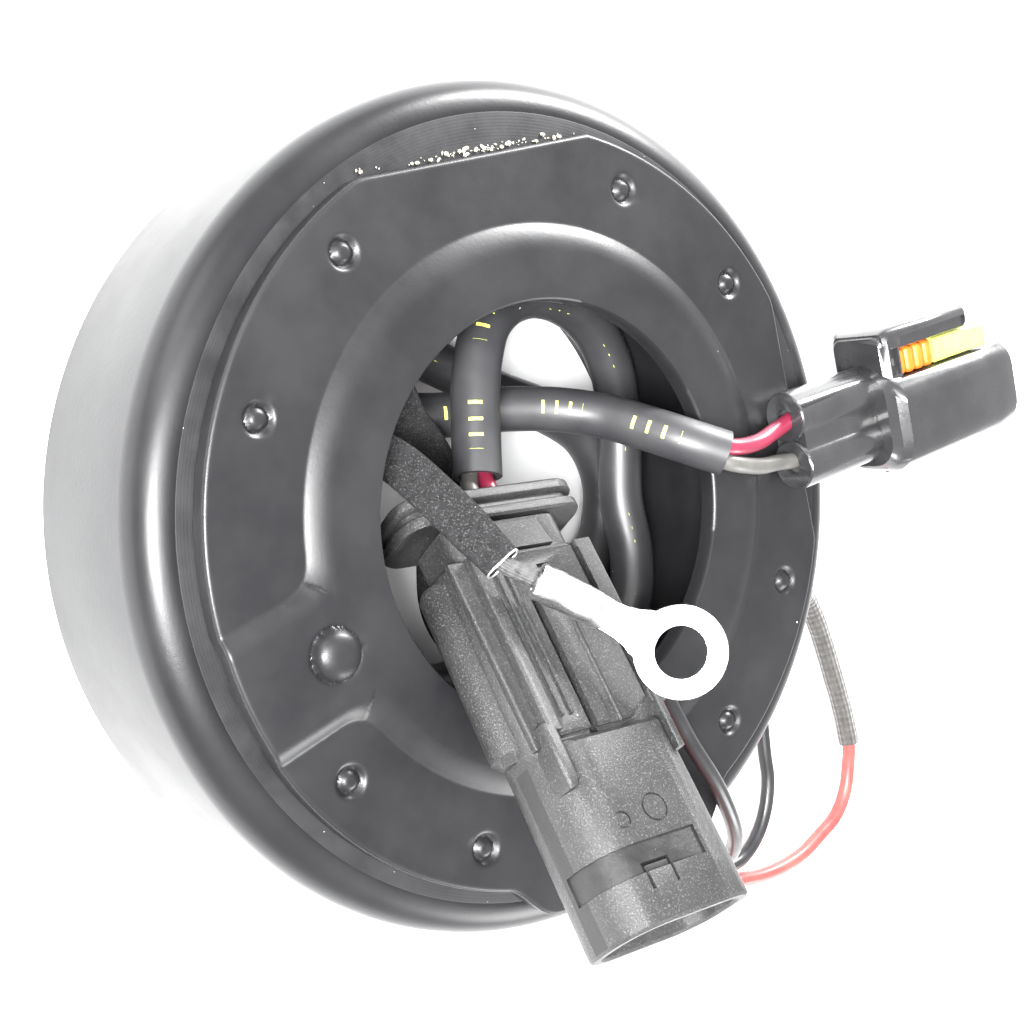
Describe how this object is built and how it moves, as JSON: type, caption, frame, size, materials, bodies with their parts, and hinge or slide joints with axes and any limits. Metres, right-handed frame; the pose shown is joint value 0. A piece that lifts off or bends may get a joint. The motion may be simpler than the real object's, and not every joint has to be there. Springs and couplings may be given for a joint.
{
  "type": "compressor clutch field coil",
  "caption": "Ring-shaped field coil in a black steel shell with a mounting plate; its harness, with two connectors and an earth ring, is packed in the bore.",
  "frame": {"origin": "centre of the coil at its pole face, which lies on the ground plane", "axes": "+Z along the coil's axis towards the mounting plate; the plate's dimples are symmetric about X and Y"},
  "size_m": [0.1403, 0.1026, 0.0544],
  "materials": {
    "black_paint": "satin black paint with fine orange peel",
    "bobbin_nylon": "natural moulded nylon",
    "copper": "enamelled copper wire, wound",
    "tape": "yellow polyester winding tape",
    "epoxy": "black casting resin",
    "black_rubber": "matte black",
    "black_pvc": "satin black flexible sleeving and insulation",
    "glass_braid": "dark braided glass fibre",
    "red_insulation": "red silicone insulation",
    "rose_insulation": "rose red insulation",
    "grey_insulation": "grey insulation",
    "felt": "black felt",
    "tin": "bright tin plate",
    "socket_nylon": "grained black glass-filled nylon",
    "plug_nylon": "smooth black nylon",
    "orange_silicone": "orange silicone",
    "yellow_nylon": "pale yellow nylon"
  },
  "bodies": {
    "coil": {"coil_shell": "black_paint", "mounting_plate": "black_paint", "bobbin": "bobbin_nylon", "copper_winding": "copper", "coil_tape": "tape", "potting_ring": "epoxy", "lead_grommet": "black_rubber", "splice_bundle": "black_rubber", "ground_wire": "black_rubber", "plug_wire_seal_a": "black_rubber", "plug_wire_seal_b": "black_rubber", "red_lead": "red_insulation", "black_lead": "black_pvc", "heat_sleeve": "glass_braid", "sleeve_long": "black_pvc", "sleeve_short": "black_pvc", "felt_sleeve": "felt", "ring_terminal": "tin", "socket_grey_wire": "grey_insulation", "plug_grey_wire": "grey_insulation", "socket_red_wire": "rose_insulation", "plug_red_wire": "rose_insulation", "socket_housing": "socket_nylon", "socket_cover": "socket_nylon", "socket_blade_a": "tin", "socket_blade_b": "tin", "plug_housing": "plug_nylon", "plug_seal": "orange_silicone", "plug_contact_a": "tin", "plug_contact_b": "tin"},
    "lock": {"secondary_lock": "yellow_nylon"}
  },
  "joints": [
    {"name": "lock_slide", "type": "slide", "parent": "coil", "child": "lock", "axis": [0.712, 0.7022, 0], "range_m": [0, 0.003]}
  ]
}
